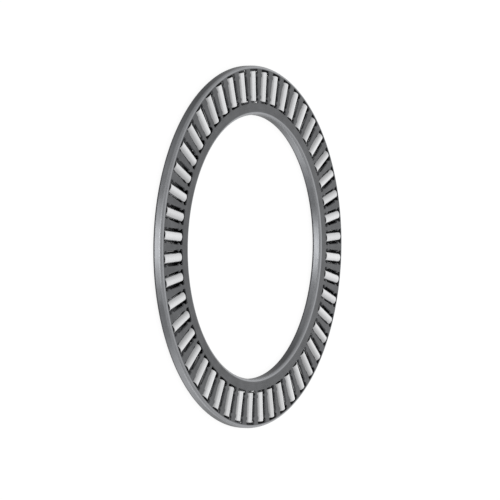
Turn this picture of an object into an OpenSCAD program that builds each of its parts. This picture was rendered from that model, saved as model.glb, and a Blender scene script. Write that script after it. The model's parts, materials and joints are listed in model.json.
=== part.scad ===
// Axial needle roller and cage assembly: a flat ring-shaped cage, pressed from two nested sheet-metal
// shells, that carries one row of radially lying rollers. The rollers stand proud of both cage faces and
// run between two raceways. Origin at the ring's centre, +Z along the bearing's axis towards the front
// face, all sizes in millimetres.

/* [Cage] */
// Outside diameter of the cage
cage_od = 89.6; // [89.5:0.05:89.8]
// Bore diameter of the cage
cage_bore = 65.3; // [65.1:0.05:65.4]
// Thickness of the cage from its front face to its rear lips
cage_h = 2.7; // [2.66:0.02:2.74]
// Outside radius of the bends between the faces and the flanges
bend_r = 0.8; // [0.78:0.01:0.82]
// Sheet thickness of the front shell
front_t = 0.4; // [0.36:0.02:0.42]
// Sheet thickness of the rear shell
rear_t = 0.3; // [0.26:0.02:0.32]
// Gap between the two nested shells
nest_gap = 0.02; // [0.02:0.01:0.04]
// Length of the flat part of the inner lip, which is folded over the rear shell
lip_len = 0.4; // [0.3:0.1:0.8]
// Angle that the outer lip is curled through round the rear shell's corner, short of the rollers
lip_turn = 82.5; // [60:7.5:82.5]

/* [Rollers] */
// Diameter of a roller
roller_d = 3; // [2.96:0.01:3]
// Length of a roller
roller_len = 7.4; // [7.2:0.1:7.4]
// Number of rollers
roller_count = 48; // [24:1:48]
// Radius of the circle through the middles of the rollers
roller_circle_r = 39.75; // [39.7:0.05:39.75]
// Rounding of the edges of a roller's ends
roller_edge_r = 0.15; // [0.1:0.05:0.3]

/* [Windows] */
// Free length between a roller's end and the end of its front window
front_end_gap = 0.5; // [0.3:0.05:0.5]
// Free length between a roller's end and the end of its rear window
rear_end_gap = 0.2; // [0.15:0.05:0.3]
// Width of the windows in the front shell
front_window_w = 3.6; // [3.4:0.02:3.64]
// Width of the windows in the rear shell, less than a roller's diameter so that it can't drop out
rear_window_w = 2.92; // [2.92:0.01:2.96]
// Radius of the window corners
window_corner_r = 0.35; // [0.2:0.05:0.5]
// Width left between the facing nubs of a front window, which hold the roller in
nub_gap = 2.86; // [2.8:0.02:2.92]
// Radius of the nubs
nub_r = 0.5; // [0.4:0.05:0.5]
// Distance of the nubs from the ends of the window
nub_inset = 1.5; // [1.2:0.1:2]

/* [Hidden] */
$fn = 96;
front_shell = "cage_front_shell";
rear_shell = "cage_rear_shell";
function roller_name(i) = str("roller_", i < 10 ? "0" : "", i);

cage_color = [0.42, 0.42, 0.43];
roller_color = [0.86, 0.87, 0.88];

bore_r = cage_bore / 2;
rim_r = cage_od / 2;
bend_z = cage_h / 2 - bend_r;
rear_inset = front_t + nest_gap;
front_window_len = roller_len + 2 * front_end_gap;
rear_window_len = roller_len + 2 * rear_end_gap;

// Rectangle in the section plane, X radial and Y axial, inset from the cage's outline, with true arcs
module cage_section(inset) {
    r0 = bore_r + bend_r;
    r1 = rim_r - bend_r;
    corner_r = bend_r - inset;
    translate([bore_r + inset, -bend_z])
        square([rim_r - bore_r - 2 * inset, 2 * bend_z]);
    translate([r0, inset - cage_h / 2])
        square([r1 - r0, cage_h - 2 * inset]);
    for (r = [r0, r1], z = [-bend_z, bend_z])
        translate([r, z]) circle(corner_r);
}

// Section of the front shell: front web, two flanges, the inner lip folded flat over the rear shell with a
// round tip, and the outer lip curled round its corner with a sheared edge
module front_section() {
    inner_lip = [bore_r + bend_r + lip_len, (front_t - cage_h) / 2];
    outer_bend = [rim_r - bend_r, -bend_z];
    curl = [cos(lip_turn), -sin(lip_turn)];
    difference() {
        cage_section(0);
        cage_section(front_t);
        polygon([
            [inner_lip[0], -bend_z],
            [inner_lip[0], -cage_h],
            outer_bend + cage_h * curl,
            outer_bend
        ]);
    }
    translate(inner_lip) circle(front_t / 2);
}

// Section of the rear shell: rear web under the lips, and two flanges with round tips inside the front
// shell's flanges
module rear_section() {
    tips = [bore_r + rear_inset + rear_t / 2, rim_r - rear_inset - rear_t / 2];
    difference() {
        cage_section(rear_inset);
        translate([bore_r + rear_inset + rear_t, rear_inset + rear_t - cage_h / 2])
            square([rim_r - bore_r - 2 * (rear_inset + rear_t), cage_h]);
        translate([0, bend_z])
            square([rim_r, cage_h]);
    }
    for (r = tips)
        translate([r, bend_z]) circle(rear_t / 2);
}

// Outline of one window, lying along X and centred on its roller, with round corners
module window_outline(len, w) {
    corner_x = len / 2 - window_corner_r;
    corner_y = w / 2 - window_corner_r;
    square([len, 2 * corner_y], center = true);
    square([2 * corner_x, w], center = true);
    for (x = [-corner_x, corner_x], y = [-corner_y, corner_y])
        translate([x, y]) circle(window_corner_r);
}

// Outline of a front window, less the round nubs on its long sides
module front_window_outline() {
    nub_x = front_window_len / 2 - nub_inset;
    nub_y = nub_gap / 2 + nub_r;
    difference() {
        window_outline(front_window_len, front_window_w);
        for (x = [-nub_x, nub_x], y = [-nub_y, nub_y])
            translate([x, y]) circle(nub_r);
    }
}

// Copies of a child lying along X at the place of every roller
module at_rollers() {
    for (i = [1:roller_count])
        at_roller(i) children();
}

module at_roller(i) {
    rotate([0, 0, (i - 1) * 360 / roller_count])
        translate([roller_circle_r, 0, 0])
            children();
}

module cage_front_shell() {
    color(cage_color)
        difference() {
            rotate_extrude() front_section();
            at_rollers()
                linear_extrude(height = cage_h) front_window_outline();
        }
}

module cage_rear_shell() {
    color(cage_color)
        difference() {
            rotate_extrude() rear_section();
            at_rollers()
                mirror([0, 0, 1])
                    linear_extrude(height = cage_h) window_outline(rear_window_len, rear_window_w);
        }
}

module roller(i) {
    edge_x = roller_d / 2 - roller_edge_r;
    edge_y = roller_len / 2 - roller_edge_r;
    color(roller_color)
        at_roller(i)
            rotate([0, 90, 0])
                rotate_extrude() {
                    translate([0, -roller_len / 2]) square([edge_x, roller_len]);
                    translate([0, -edge_y]) square([roller_d / 2, 2 * edge_y]);
                    for (y = [-edge_y, edge_y])
                        intersection() {
                            translate([edge_x, y]) circle(roller_edge_r);
                            translate([0, -roller_len]) square([roller_d, 2 * roller_len]);
                        }
                }
}

cage_front_shell();
cage_rear_shell();
for (i = [1:roller_count])
    roller(i);
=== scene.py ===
"""Looks of an axial needle roller and cage assembly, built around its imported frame.

Lengths are in millimetres until a mesh or an object is made, which is in metres like the frame.
"""

import json
import math

import bmesh
import bpy
import numpy as np
from mathutils import Matrix, Vector


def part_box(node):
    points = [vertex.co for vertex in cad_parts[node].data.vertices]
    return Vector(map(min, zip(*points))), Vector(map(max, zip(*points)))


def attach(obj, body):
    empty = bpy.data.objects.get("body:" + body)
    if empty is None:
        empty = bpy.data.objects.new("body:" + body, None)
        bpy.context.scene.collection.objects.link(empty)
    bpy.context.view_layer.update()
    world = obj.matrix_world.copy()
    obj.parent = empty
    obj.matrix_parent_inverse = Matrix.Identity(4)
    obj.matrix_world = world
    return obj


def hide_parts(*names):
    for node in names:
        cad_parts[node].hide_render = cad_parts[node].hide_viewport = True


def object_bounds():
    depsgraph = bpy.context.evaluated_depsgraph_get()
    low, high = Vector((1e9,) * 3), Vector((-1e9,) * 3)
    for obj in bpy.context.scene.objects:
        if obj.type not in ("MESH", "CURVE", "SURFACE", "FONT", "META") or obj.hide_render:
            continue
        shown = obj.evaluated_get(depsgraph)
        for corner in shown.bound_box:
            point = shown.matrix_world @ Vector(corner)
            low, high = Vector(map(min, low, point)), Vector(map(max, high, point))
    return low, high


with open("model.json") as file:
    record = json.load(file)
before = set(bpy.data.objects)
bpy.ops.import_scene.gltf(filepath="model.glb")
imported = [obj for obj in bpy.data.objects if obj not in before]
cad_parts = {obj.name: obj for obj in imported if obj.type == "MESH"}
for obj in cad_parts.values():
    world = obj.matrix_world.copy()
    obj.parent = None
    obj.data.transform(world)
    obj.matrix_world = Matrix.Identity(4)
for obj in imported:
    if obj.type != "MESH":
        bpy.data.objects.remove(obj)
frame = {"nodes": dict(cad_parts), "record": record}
cad_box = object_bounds()

MM = 0.001
FRONT_NODE, REAR_NODE, CAGE_BODY = "cage_front_shell", "cage_rear_shell", "cage"
ROLLERS = sorted(name for name in frame["nodes"] if name.startswith("roller_"))

# Sizes read from the frame. The first roller lies along +X.
rim_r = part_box(FRONT_NODE)[1].x / MM
half_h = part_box(FRONT_NODE)[1].z / MM
bore_r = next(m for m in frame["record"]["mounts"] if m["name"] == "bore")["dims"]["r_mm"]
roller_in, roller_out = (corner.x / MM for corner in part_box(ROLLERS[0]))

# Sizes of the part's design that the frame's boxes don't give.
BEND_R = 0.8
FRONT_SHEET = 0.4
REAR_SHEET = 0.3
NEST_GAP = 0.02
INNER_LIP_LENGTH = 0.4
OUTER_LIP_TURN = 82.5
FRONT_END_GAP, FRONT_WINDOW_W = 0.5, 3.6
REAR_END_GAP, REAR_WINDOW_W = 0.2, 2.92
CORNER_R = 0.35
NUB_GAP = 2.86
NUB_R = 0.5
NUB_INSET = 1.5

# Rounding of the windows' edges, and the flat strip beside it. At a window's ends, which are close to the
# bends, the outline moves out by only a small share of both.
OUTSIDE_EDGE_R = 0.22
INSIDE_EDGE_R = 0.04
EDGE_BAND = 0.06
END_EDGE_SHARE = 0.06

# How bright the sheet is made, where the shoulder of the bends beside the front web is 1. On the front
# shell's bend shoulders and flange walls this is partly rubbing and partly a painted highlight; on the
# windows' cut walls it is rubbing.
SHOULDER_WEAR_AND_SHEEN = 1
FLANGE_WEAR_AND_SHEEN = 0.2
CUT_WEAR = 0.6

# How fast the shoulder's rubbing and painted highlight set in from the flange, and from the web, as it
# follows the surface's slope.
RUB_SHEEN_FROM_FLANGE, RUB_SHEEN_FROM_WEB = 1.6, 3

# Fineness of the meshes.
SECTOR = 2 * math.pi / len(ROLLERS)
SECTOR_STEPS = 8
BEND_STEPS = 10
TIP_STEPS = 8
CORNER_STEPS = 5
NUB_STEPS = 6
EDGE_STEPS = 3
WELD_DECIMALS = 5

# Camera: where it stands, in degrees from +X towards +Y and above the horizon, and in metres from the ring.
VIEW_AZIMUTH, VIEW_ELEVATION = -86.8, 30.0
VIEW_DISTANCE = 0.6066
LENS, SENSOR = 176.3, 36.0
CLIP = (0.01, 20)
PICTURE_TURN = 0.88
AIM_RIGHT, AIM_UP = -0.81, -0.77

# Table top: its radius in metres, its own grey and how strongly it glows.
TABLE_RADIUS = 3.0
TABLE_SIDES = 128
TABLE_GREY, TABLE_GLOW, TABLE_ROUGHNESS = 0.15, 0.9, 0.9

# Light tent: its strength overhead and underneath, and the heights between which one turns into the other.
TENT_ABOVE, TENT_BELOW = 0.55, 0.25
TENT_TOP, TENT_BOTTOM = -0.1, -0.7

# Its brighter panels: azimuth from the camera's side, elevation, sharpness and strength. Those below the
# horizon shine through the table, which stops no light.
PANELS = (
    (180, 80, 8, 0.75),
    (180, 15, 4, 0.9),
    (0, -10, 5, 0.9),
    (0, -22, 24, 8.0),
    (90, -22, 10, 3.0),
    (-60, -22, 10, 1.0),
)


# ---------------------------------------------------------------- sheet-metal shells

def arc(centre, radius, start, end, steps, side=1, wear_and_sheen=(0, 0)):
    """Points of an arc in the section plane, as (r, z, normal r, normal z, wear and sheen). side -1 is its
    hollow side.

    wear_and_sheen is given for the arc's shoulder, halfway round the bend, and for its flange end; it is
    partly rubbing and partly a painted highlight.
    """
    made = []
    for angle in np.radians(np.linspace(start, end, steps + 1)):
        across, up = math.cos(angle), math.sin(angle)
        # The shoulder and flange values are partly rubbing and partly a painted highlight on the bend and the
        # wall.
        shoulder = min(1, RUB_SHEEN_FROM_FLANGE * abs(up)) * min(1, RUB_SHEEN_FROM_WEB * abs(across))
        rubbed_and_sheen = max(wear_and_sheen[0] * shoulder, wear_and_sheen[1] * abs(across))
        point = (centre[0] + radius * across, centre[1] + radius * up)
        made.append((*point, side * across, side * up, rubbed_and_sheen))
    return made


def front_section(lip):
    """Outer half of the front shell's section, from the web's face over the flange and lip to its inside."""
    r, z = rim_r - BEND_R, half_h - BEND_R
    return (
        arc((r, z), BEND_R, 90, 0, BEND_STEPS, wear_and_sheen=(SHOULDER_WEAR_AND_SHEEN, FLANGE_WEAR_AND_SHEEN))
        + lip
        + arc((r, z), BEND_R - FRONT_SHEET, 0, 90, BEND_STEPS, side=-1)
    )


def folded_lip():
    """The lip that is folded flat over the rear shell, with a round tip."""
    r, z = rim_r - BEND_R, BEND_R - half_h
    return (
        arc((r, z), BEND_R, 0, -90, BEND_STEPS, wear_and_sheen=(0, FLANGE_WEAR_AND_SHEEN))
        + arc((r - INNER_LIP_LENGTH, FRONT_SHEET / 2 - half_h), FRONT_SHEET / 2, -90, -270, TIP_STEPS)
        + arc((r, z), BEND_R - FRONT_SHEET, -90, 0, BEND_STEPS, side=-1)
    )


def curled_lip():
    """The lip that is curled round the rear shell's corner, with a sheared edge whose corners are broken."""
    r, z = rim_r - BEND_R, BEND_R - half_h
    inside = BEND_R - FRONT_SHEET
    made = arc((r, z), BEND_R, 0, -OUTER_LIP_TURN, BEND_STEPS, wear_and_sheen=(0, FLANGE_WEAR_AND_SHEEN))[:-1]
    for radius, start in ((BEND_R - INSIDE_EDGE_R, 0), (inside + INSIDE_EDGE_R, -90)):
        back = math.degrees(math.asin(INSIDE_EDGE_R / radius))
        turn = math.radians(OUTER_LIP_TURN - back)
        corner = (r + radius * math.cos(turn), z - radius * math.sin(turn))
        first = start - OUTER_LIP_TURN
        made += arc(corner, INSIDE_EDGE_R, first, first - 90, EDGE_STEPS)
    return made + arc((r, z), inside, -OUTER_LIP_TURN, 0, BEND_STEPS, side=-1)[1:]


def rear_section():
    """Outer half of the rear shell's section, from the web's rear face over the flange to its inside."""
    r, z = rim_r - BEND_R, half_h - BEND_R
    outside = BEND_R - FRONT_SHEET - NEST_GAP
    tip = (r + outside - REAR_SHEET / 2, z)
    return (
        arc((r, -z), outside, -90, 0, BEND_STEPS)
        + arc(tip, REAR_SHEET / 2, 0, 180, TIP_STEPS)
        + arc((r, -z), outside - REAR_SHEET, 0, -90, BEND_STEPS, side=-1)
    )


def mirrored(section):
    """The inner half of a section, which mirrors the outer one about the cage's middle radius."""
    return [(rim_r + bore_r - r, z, -nr, nz, wear_and_sheen) for r, z, nr, nz, wear_and_sheen in section]


def window_outline(end_gap, width, nubs):
    """Closed outline of a window about its own centre, X along the roller, anticlockwise."""
    half_l = (roller_out - roller_in) / 2 + end_gap
    corner = (half_l - CORNER_R, width / 2 - CORNER_R)
    quarter = [p[:2] for p in arc(corner, CORNER_R, 0, 90, CORNER_STEPS)]
    if nubs:
        nub = (half_l - NUB_INSET, NUB_GAP / 2 + NUB_R)
        foot = math.degrees(math.asin((nub[1] - width / 2) / NUB_R))
        quarter += [p[:2] for p in arc(nub, NUB_R, -foot, foot - 180, NUB_STEPS)]
    half = quarter + [(-x, y) for x, y in reversed(quarter)]
    return np.array(half + [(-x, -y) for x, y in half])


def outward(outline):
    """For each point of an anticlockwise outline, the step that moves its sides out by one unit."""
    sides = np.roll(outline, -1, axis=0) - outline
    after = np.stack([sides[:, 1], -sides[:, 0]], axis=1) / np.linalg.norm(sides, axis=1)[:, None]
    before = np.roll(after, 1, axis=0)
    return (before + after) / (1 + (before * after).sum(axis=1))[:, None]


def filled(*outlines):
    """Triangles of the flat region between closed outlines, as indices into all their points in turn."""
    flat = bmesh.new()
    edges = []
    for outline in outlines:
        corners = [flat.verts.new((x, y, 0)) for x, y in outline]
        edges += [flat.edges.new(pair) for pair in zip(corners, corners[1:] + corners[:1])]
    flat.verts.index_update()
    bmesh.ops.triangle_fill(flat, use_beauty=True, use_dissolve=False, edges=edges, normal=(0, 0, 1))
    triangles = [[v.index for v in face.verts] for face in flat.faces]
    flat.free()
    return triangles


class Patch:
    """Points with normals and wear values, which are partly rubbing and partly a painted highlight, and the
    faces between them, in millimetres.
    """

    def __init__(self):
        self.points, self.normals, self.wear_and_sheen, self.faces = [], [], [], []

    def add(self, points, normals, wear_and_sheen, faces):
        start = sum(len(p) for p in self.points)
        self.points.append(np.asarray(points, float))
        self.normals.append(np.asarray(normals, float))
        self.wear_and_sheen.append(np.broadcast_to(wear_and_sheen, len(points)).astype(float))
        self.faces += [[start + i for i in face] for face in faces]

    def repeated(self, count):
        """The patch turned about Z to each of count places, joined where the copies meet."""
        points, normals, wear_and_sheen = (np.concatenate(x) for x in (self.points, self.normals, self.wear_and_sheen))
        turns = [np.array(Matrix.Rotation(2 * math.pi * k / count, 3, "Z")).T for k in range(count)]
        all_points = np.concatenate([points @ turn for turn in turns])
        all_normals = np.concatenate([normals @ turn for turn in turns])
        faces = [[k * len(points) + i for i in face] for k in range(count) for face in self.faces]
        joined = Patch()
        joined.add(all_points, all_normals, np.tile(wear_and_sheen, count), faces)
        return joined.welded()

    def welded(self):
        points, normals, wear_and_sheen = (np.concatenate(x) for x in (self.points, self.normals, self.wear_and_sheen))
        rounded = np.round(points, WELD_DECIMALS)
        _, first, same = np.unique(rounded, axis=0, return_index=True, return_inverse=True)
        same = same.ravel()
        self.points, self.normals, self.wear_and_sheen = [points[first]], [normals[first]], [wear_and_sheen[first]]
        self.faces = [[int(same[i]) for i in face] for face in self.faces]
        return self

    def mesh(self, name):
        """The welded patch as a mesh, with its faces turned to agree with its normals."""
        points, normals, wear_and_sheen = self.points[0], self.normals[0], self.wear_and_sheen[0]
        faces = []
        for face in self.faces:
            a, b, c = (points[i] for i in face[:3])
            out = sum(normals[i] for i in face)
            faces.append(face if np.dot(np.cross(b - a, c - a), out) > 0 else face[::-1])
        mesh = bpy.data.meshes.new(name)
        mesh.from_pydata((points * MM).tolist(), [], faces)
        mesh.shade_smooth()
        units = normals / np.linalg.norm(normals, axis=1)[:, None]
        mesh.normals_split_custom_set_from_vertices(units.tolist())
        # This attribute carries rubbing and, on the front shell's bends and flange walls, a painted
        # highlight.
        mesh.attributes.new("worn_and_sheen", "FLOAT", "POINT").data.foreach_set("value", wear_and_sheen.astype(np.float32))
        return mesh


def add_strip(patch, section):
    """One sector of the surface that a section sweeps about Z."""
    angles = np.linspace(-SECTOR / 2, SECTOR / 2, SECTOR_STEPS + 1)
    points = [(r * math.cos(a), r * math.sin(a), z) for a in angles for r, z, _, _, _ in section]
    normals = [(nr * math.cos(a), nr * math.sin(a), nz) for a in angles for _, _, nr, nz, _ in section]
    n = len(section)
    faces = [(i * n + j, i * n + j + 1, (i + 1) * n + j + 1, (i + 1) * n + j)
             for i in range(SECTOR_STEPS) for j in range(n - 1)]
    patch.add(points, normals, [wear_and_sheen for _, _, _, _, wear_and_sheen in section] * (SECTOR_STEPS + 1), faces)


def window_rings(outline, z_out, z_in):
    """Loops of points round a window, from the outside face through the rounded edges to the inside face."""
    side = 1 if z_out > z_in else -1
    steps = outward(outline)
    away = steps / np.linalg.norm(steps, axis=1)[:, None]
    steps = steps * (END_EDGE_SHARE, 1)
    quarter = np.radians(np.linspace(0, 90, EDGE_STEPS + 1))
    profile = [(OUTSIDE_EDGE_R + EDGE_BAND, z_out, 0, 1)]
    for t in quarter:
        profile.append((OUTSIDE_EDGE_R * (1 - math.sin(t)), z_out - side * OUTSIDE_EDGE_R * (1 - math.cos(t)),
                        math.sin(t), math.cos(t)))
    for t in quarter:
        profile.append((INSIDE_EDGE_R * (1 - math.cos(t)), z_in + side * INSIDE_EDGE_R * (1 - math.sin(t)),
                        math.cos(t), -math.sin(t)))
    rings = []
    middle = np.array([(roller_in + roller_out) / 2, 0])
    for offset, z, across, up in profile:
        flat = outline + middle + offset * steps
        points = np.column_stack([flat, np.full(len(flat), z)])
        normals = np.column_stack([-across * away, np.full(len(flat), side * up)])
        rings.append((points, normals))
    return rings


def add_web(patch, outline, z_out, z_in):
    """One sector of the flat web: both faces, with the window's wall and rounded edges between them."""
    rings = window_rings(outline, z_out, z_in)
    n = len(outline)
    points = np.concatenate([p for p, _ in rings])
    normals = np.concatenate([q for _, q in rings])
    faces = [(k * n + i, k * n + (i + 1) % n, (k + 1) * n + (i + 1) % n, (k + 1) * n + i)
             for k in range(len(rings) - 1) for i in range(n)]
    # The flat strip and the outside rounding keep the sheet's tone. The cut wall below them is rubbed.
    wear_and_sheen = np.repeat([0] * (EDGE_STEPS + 1) + [CUT_WEAR] * (EDGE_STEPS + 2), n)
    patch.add(points, normals, wear_and_sheen, faces)
    angles = np.linspace(-SECTOR / 2, SECTOR / 2, SECTOR_STEPS + 1)
    border = [((rim_r - BEND_R) * math.cos(a), (rim_r - BEND_R) * math.sin(a)) for a in angles]
    border += [((bore_r + BEND_R) * math.cos(a), (bore_r + BEND_R) * math.sin(a)) for a in angles[::-1]]
    for (ring, _), z, up in ((rings[0], z_out, z_out - z_in), (rings[-1], z_in, z_in - z_out)):
        flat = np.concatenate([border, ring[:, :2]])
        points = np.column_stack([flat, np.full(len(flat), z)])
        normals = np.tile([0, 0, math.copysign(1, up)], (len(flat), 1))
        patch.add(points, normals, 0, filled(border, ring[:, :2]))


def make_shell(name, node, sections, outline, z_out, z_in, material):
    """A whole pressed shell, which stands for its CAD node. sections are its outer and its inner half."""
    patch = Patch()
    for section in sections:
        add_strip(patch, section)
    add_web(patch, outline, z_out, z_in)
    shell = bpy.data.objects.new(name, patch.repeated(len(ROLLERS)).mesh(name))
    bpy.context.scene.collection.objects.link(shell)
    shell.data.materials.append(material)
    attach(shell, CAGE_BODY)
    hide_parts(node)


# ---------------------------------------------------------------- materials

class Shader:
    """The node tree of a new material or world, with short ways to add nodes."""

    def __init__(self, owner):
        owner.use_nodes = True
        self.owner = owner
        self.tree = owner.node_tree

    def first(self, kind):
        """The node of a kind that the tree starts with."""
        return next(n for n in self.tree.nodes if n.type == kind)

    def put(self, value, socket):
        if isinstance(value, bpy.types.NodeSocket):
            self.tree.links.new(value, socket)
        else:
            socket.default_value = value

    def node(self, kind, inputs=(), **settings):
        made = self.tree.nodes.new("ShaderNode" + kind)
        for key, value in settings.items():
            setattr(made, key, value)
        for key, value in dict(inputs).items():
            self.put(value, made.inputs[key])
        return made

    def maths(self, operation, a, b=0.0):
        return self.node("Math", {0: a, 1: b}, operation=operation).outputs[0]

    def span(self, value, low, high, to_low=0.0, to_high=1.0):
        """value from low..high, carried over to to_low..to_high and kept inside."""
        return self.node("MapRange", {"Value": value, "From Min": low, "From Max": high,
                                      "To Min": to_low, "To Max": to_high}).outputs[0]

    def blend(self, share, a, b):
        made = self.node("Mix", data_type="RGBA")
        for key, value in (("Factor_Float", share), ("A_Color", a), ("B_Color", b)):
            self.put(value, next(s for s in made.inputs if s.identifier == key))
        return next(s for s in made.outputs if s.identifier == "Result_Color")

    def noise(self, place, scale, detail=2.0, roughness=0.5):
        return self.node("TexNoise", {"Vector": place, "Scale": scale, "Detail": detail,
                                      "Roughness": roughness}).outputs["Fac"]

    def vector(self, x, y, z):
        return self.node("CombineXYZ", {0: x, 1: y, 2: z}).outputs[0]

    def place(self):
        """The piece's own coordinates in millimetres: the vector, X, Y, Z, and the distance from the axis."""
        own = self.node("TexCoord").outputs["Object"]
        scaled = self.node("VectorMath", {0: own, 1: (1 / MM,) * 3}, operation="MULTIPLY").outputs[0]
        x, y, z = self.node("SeparateXYZ", {0: scaled}).outputs
        squares = self.maths("ADD", self.maths("MULTIPLY", x, x), self.maths("MULTIPLY", y, y))
        return scaled, x, y, z, self.maths("SQRT", squares)

    def surface(self, values):
        """Sets or links the material's own shader, and gives the material."""
        principled = self.first("BSDF_PRINCIPLED")
        for name, value in values.items():
            self.put(value, principled.inputs[name])
        return self.owner

    def metal(self, tone, rough, relief, strength, depth):
        """Bare metal with a fine relief, whose depth is in millimetres."""
        bump = self.node("Bump", {"Height": relief, "Strength": strength, "Distance": depth * MM})
        return self.surface({"Base Color": tone, "Metallic": 1.0, "Roughness": rough,
                             "Normal": bump.outputs[0]})


def grey(value, blue=1.0):
    """A grey whose blue is so many times its red."""
    return (value, value * (1 + (blue - 1) / 3), value * blue, 1)


# Tones of the sheet, its grain, the lines it was drawn with and its rubbed parts, whose light tone is also a
# painted highlight on the front shell's bends and flange walls, and tones of the rollers.
SHEET_DARK, SHEET_LIGHT = grey(0.062, 1.07), grey(0.088, 1.08)
SHEET_GRAIN, SHEET_DRAWN, SHEET_RUBBED_SHEEN = grey(0.12, 1.07), grey(0.045, 1.07), grey(0.36, 1.06)
ROLLER_DARK, ROLLER_LIGHT, ROLLER_DULL = grey(0.53, 1.02), grey(0.62, 1.02), grey(0.42, 1.02)


def cage_steel():
    """Cold-pressed and tumbled sheet: dark satin grey, faint mottling, fine grain, brighter edges that are
    partly rubbed and partly a painted highlight on the bends and flange walls.
    """
    s = Shader(bpy.data.materials.new("cage_steel"))
    place, x, y, z, distance = s.place()
    mottle = s.noise(place, 0.35, 3.0)
    grain = s.noise(place, 7.0, 4.0, 0.65)
    turned = s.vector(s.maths("MULTIPLY", s.maths("DIVIDE", x, distance), 6.0),
                      s.maths("MULTIPLY", s.maths("DIVIDE", y, distance), 6.0),
                      s.maths("MULTIPLY", s.maths("ADD", distance, z), 9.0))
    drawn = s.noise(turned, 1.0, 4.0, 0.6)
    worn_and_sheen = s.node("Attribute", attribute_name="worn_and_sheen").outputs["Fac"]
    tone = s.blend(s.span(mottle, 0.3, 0.7), SHEET_DARK, SHEET_LIGHT)
    tone = s.blend(s.span(grain, 0.35, 0.75, 0.0, 0.35), tone, SHEET_GRAIN)
    tone = s.blend(s.span(drawn, 0.45, 0.75, 0.0, 0.35), tone, SHEET_DRAWN)
    # Lightens the sheet where it is rubbed, and paints a highlight on the front shell's bend shoulders and
    # flange walls.
    tone = s.blend(s.maths("MULTIPLY", worn_and_sheen, s.span(grain, 0.3, 0.6, 0.6, 0.9)), tone, SHEET_RUBBED_SHEEN)
    rough = s.maths("ADD", s.span(grain, 0.3, 0.7, 0.31, 0.43), s.span(drawn, 0.35, 0.7, -0.03, 0.05))
    relief = s.maths("ADD", grain, s.maths("MULTIPLY", drawn, 0.7))
    return s.metal(tone, rough, relief, strength=0.35, depth=0.004)


def roller_steel():
    """Hardened, ground and polished steel: bright, with fine grinding lines, each roller in its own tone."""
    s = Shader(bpy.data.materials.new("roller_steel"))
    place, x, y, z, distance = s.place()
    along, height = s.maths("MULTIPLY", distance, 14.0), s.maths("MULTIPLY", z, 0.25)
    lines = s.noise(s.vector(along, height, 0.0), 1.0, 3.0, 0.7)
    haze = s.noise(place, 0.9, 2.0)
    turn = s.maths("ROUND", s.maths("DIVIDE", s.maths("ARCTAN2", y, x), SECTOR))
    own = s.node("TexWhiteNoise", {"W": s.maths("ABSOLUTE", turn)}, noise_dimensions="1D").outputs["Value"]
    tone = s.blend(s.span(lines, 0.35, 0.7), ROLLER_DARK, ROLLER_LIGHT)
    tone = s.blend(s.maths("MULTIPLY", own, 0.6), tone, ROLLER_DULL)
    rough = s.maths("ADD", s.span(lines, 0.3, 0.7, 0.12, 0.2), s.span(haze, 0.35, 0.65, 0.0, 0.05))
    return s.metal(tone, rough, lines, strength=0.25, depth=0.002)


def table_white():
    """Translucent white table top, lit from below so that it shows no shadows."""
    s = Shader(bpy.data.materials.new("table_white"))
    return s.surface({"Base Color": grey(TABLE_GREY), "Emission Color": (1, 1, 1, 1),
                      "Emission Strength": TABLE_GLOW, "Roughness": TABLE_ROUGHNESS,
                      "Specular IOR Level": 0.0})


# ---------------------------------------------------------------- stage, light and camera

def direction(azimuth, elevation):
    """Unit vector towards an azimuth from +X towards +Y, and a height above the horizon, in degrees."""
    a, e = math.radians(azimuth), math.radians(elevation)
    return Vector((math.cos(a) * math.cos(e), math.sin(a) * math.cos(e), math.sin(e)))


def make_table():
    """The table top that the rollers rest on. It stops no light and isn't seen in reflections."""
    bpy.ops.mesh.primitive_circle_add(vertices=TABLE_SIDES, radius=TABLE_RADIUS, fill_type="NGON",
                                      location=(0, 0, cad_box[0].z))
    table = bpy.context.object
    table.name = "table"
    table.data.materials.append(table_white())
    table.visible_glossy = False
    table.visible_shadow = False


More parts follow.
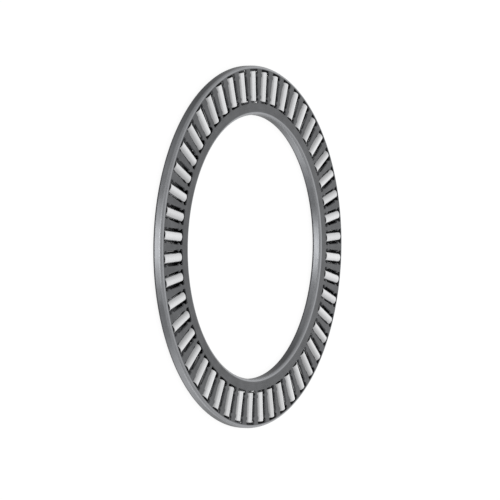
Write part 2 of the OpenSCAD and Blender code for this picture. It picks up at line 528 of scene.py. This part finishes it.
def make_tent():
    """The light tent: white all round, with brighter panels that fade out softly."""
    world = bpy.data.worlds.new("tent")
    bpy.context.scene.world = world
    s = Shader(world)
    background = s.first("BACKGROUND")
    background.inputs["Color"].default_value = (1, 1, 1, 1)
    seen = s.node("TexCoord").outputs["Generated"]
    toward = s.node("VectorMath", {0: seen}, operation="NORMALIZE").outputs[0]
    height = s.node("SeparateXYZ", {0: toward}).outputs[2]
    light = s.span(height, TENT_BOTTOM, TENT_TOP, TENT_BELOW, TENT_ABOVE)
    for azimuth, elevation, sharpness, strength in PANELS:
        middle = direction(VIEW_AZIMUTH + azimuth, elevation)
        facing = s.node("VectorMath", {0: toward, 1: middle}, operation="DOT_PRODUCT").outputs["Value"]
        fade = s.maths("MULTIPLY", s.maths("SUBTRACT", facing, 1.0), sharpness)
        light = s.maths("ADD", light, s.maths("MULTIPLY", s.maths("EXPONENT", fade), strength))
    s.put(light, background.inputs["Strength"])


def make_camera():
    """Looks down on the ring from one side, with the picture turned so that the ring stands upright in it."""
    data = bpy.data.cameras.new("camera")
    data.lens, data.sensor_width = LENS, SENSOR
    data.clip_start, data.clip_end = CLIP
    camera = bpy.data.objects.new("camera", data)
    bpy.context.scene.collection.objects.link(camera)
    back = direction(VIEW_AZIMUTH, VIEW_ELEVATION)
    level_up = direction(VIEW_AZIMUTH + 180, 90 - VIEW_ELEVATION)
    level_right = level_up.cross(back)
    turn = math.radians(PICTURE_TURN)
    right = level_up * math.cos(turn) - level_right * math.sin(turn)
    up = back.cross(right)
    place = back * VIEW_DISTANCE + (right * AIM_RIGHT + up * AIM_UP) * MM
    camera.matrix_world = Matrix((
        (right.x, up.x, back.x, place.x),
        (right.y, up.y, back.y, place.y),
        (right.z, up.z, back.z, place.z),
        (0, 0, 0, 1)))
    bpy.context.scene.camera = camera


# ---------------------------------------------------------------- the whole scene

steel = cage_steel()
rear_inset = FRONT_SHEET + NEST_GAP
make_shell("front_shell", FRONT_NODE, (front_section(curled_lip()), mirrored(front_section(folded_lip()))),
           window_outline(FRONT_END_GAP, FRONT_WINDOW_W, nubs=True),
           half_h, half_h - FRONT_SHEET, steel)
make_shell("rear_shell", REAR_NODE, (rear_section(), mirrored(rear_section())),
           window_outline(REAR_END_GAP, REAR_WINDOW_W, nubs=False),
           rear_inset - half_h, rear_inset + REAR_SHEET - half_h, steel)
polished = roller_steel()
for name in ROLLERS:
    frame["nodes"][name].data.materials[0] = polished
make_table()
make_tent()
make_camera()
bpy.context.scene.view_settings.view_transform = "Standard"
